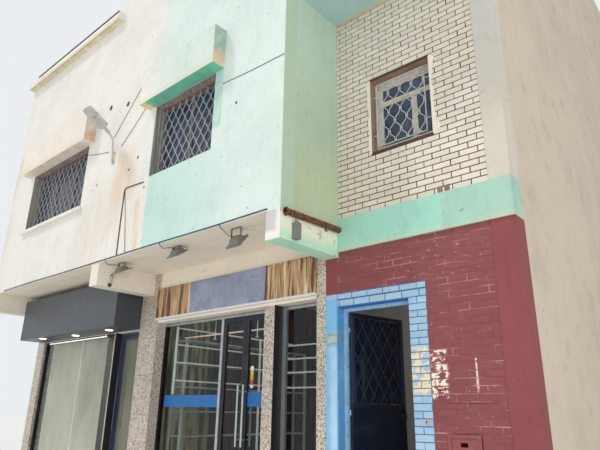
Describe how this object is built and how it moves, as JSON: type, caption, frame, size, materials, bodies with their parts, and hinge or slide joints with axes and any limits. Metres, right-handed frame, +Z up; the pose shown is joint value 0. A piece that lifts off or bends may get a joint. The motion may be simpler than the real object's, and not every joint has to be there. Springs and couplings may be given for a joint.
{
  "type": "corner shop building",
  "caption": "Terraced street building with shops on the ground floor, a house entrance in a tiled bay and upper floors cantilevered over the shops.",
  "frame": {"origin": "middle of the ground slab's underside, on the pavement", "axes": "+X along the street front to the right, +Y into the building, +Z up"},
  "size_m": [10.32, 9.6935, 11.09],
  "materials": {
    "white_render": "painted lime render, stained",
    "mint_render": "painted lime render, faded",
    "mint_paint": "painted render",
    "cream_render": "painted render",
    "brick_tile": "painted brick tile, dark joints",
    "maroon_paint": "painted brick tile and render",
    "blue_paint": "brushed paint",
    "granite": "speckled granite cladding",
    "concrete": "plain concrete",
    "window_steel": "weathered paint",
    "beige_wood": "old paint",
    "dark_glass": "dusty glass",
    "shop_glass": "clear glass",
    "aluminium": "satin",
    "black_steel": "satin paint",
    "blue_aluminium": "satin paint",
    "sign_sheet": "satin sheet",
    "sign_print": "printed sheet",
    "lamp_grey": "weathered grey",
    "cable_black": "dusty cable sheath",
    "rust": "rusty"
  },
  "bodies": {
    "building": {"ground_slab": "concrete", "first_floor_slab": "cream_render", "second_floor_slab": "cream_render", "roof_slab": "cream_render", "beam_left": "white_render", "beam_middle": "white_render", "beam_right": "mint_render", "facade_left": "white_render", "facade_right": "mint_render", "facade_second": "mint_render", "return_wall": "mint_render", "recess_wall": "brick_tile", "recess_pier": "cream_render", "painted_band": "mint_paint", "entrance_wall_left": "blue_paint", "entrance_wall_over": "maroon_paint", "entrance_wall_right": "maroon_paint", "entrance_pier": "maroon_paint", "left_pier": "granite", "middle_pier": "granite", "slim_post": "granite", "right_pier": "granite", "left_shop_lintel": "cream_render", "right_shop_lintel": "cream_render", "party_wall_left": "cream_render", "party_wall_right": "cream_render", "rear_wall_left": "white_render", "rear_wall_right": "white_render", "terrace_side_wall": "white_render", "shop_partition": "cream_render", "hall_partition": "cream_render", "parapet_coping": "white_render", "roof_coping": "mint_render", "hood_left": "white_render", "hood_right": "mint_paint", "hood_second": "mint_paint", "window_sill": "white_render", "window_frames": "window_steel", "window_glass": "dark_glass", "bay_window_frame": "beige_wood", "sign_box": "sign_sheet", "sign_board": "sign_print", "left_shop_frame": "black_steel", "right_shop_frame": "aluminium", "shop_glass": "shop_glass", "entrance_frame": "blue_paint", "floodlights": "lamp_grey", "street_lamp": "lamp_grey", "meter_box": "lamp_grey", "drip_ledge": "rust", "shop_shelves": "aluminium", "wall_cables": "cable_black"},
    "entrance_leaf": {"entrance_door": "black_steel"},
    "left_shop_leaf": {"left_shop_door": "blue_aluminium", "left_shop_door_glass": "shop_glass"},
    "pair_left_leaf": {"pair_door_left": "aluminium", "pair_door_left_glass": "shop_glass"},
    "pair_right_leaf": {"pair_door_right": "aluminium", "pair_door_right_glass": "shop_glass"},
    "hatch": {"meter_hatch": "maroon_paint"}
  },
  "joints": [
    {"name": "entrance_door_hinge", "type": "hinge", "parent": "building", "child": "entrance_leaf", "pos_m": [2.9585, -3.824, 0.13], "axis": [0, 0, 1], "range_deg": [-78, 12]},
    {"name": "left_shop_door_hinge", "type": "hinge", "parent": "building", "child": "left_shop_leaf", "pos_m": [-1.379, -3.787, 0.177], "axis": [0, 0, -1], "range_deg": [0, 90]},
    {"name": "pair_door_left_hinge", "type": "hinge", "parent": "building", "child": "pair_left_leaf", "pos_m": [0.662, -3.787, 0.177], "axis": [0, 0, 1], "range_deg": [0, 90]},
    {"name": "pair_door_right_hinge", "type": "hinge", "parent": "building", "child": "pair_right_leaf", "pos_m": [1.617, -3.787, 0.177], "axis": [0, 0, -1], "range_deg": [0, 90]},
    {"name": "meter_hatch_hinge", "type": "hinge", "parent": "building", "child": "hatch", "pos_m": [4.261, -4.014, 0.725], "axis": [0, 0, -1], "range_deg": [0, 110]}
  ]
}
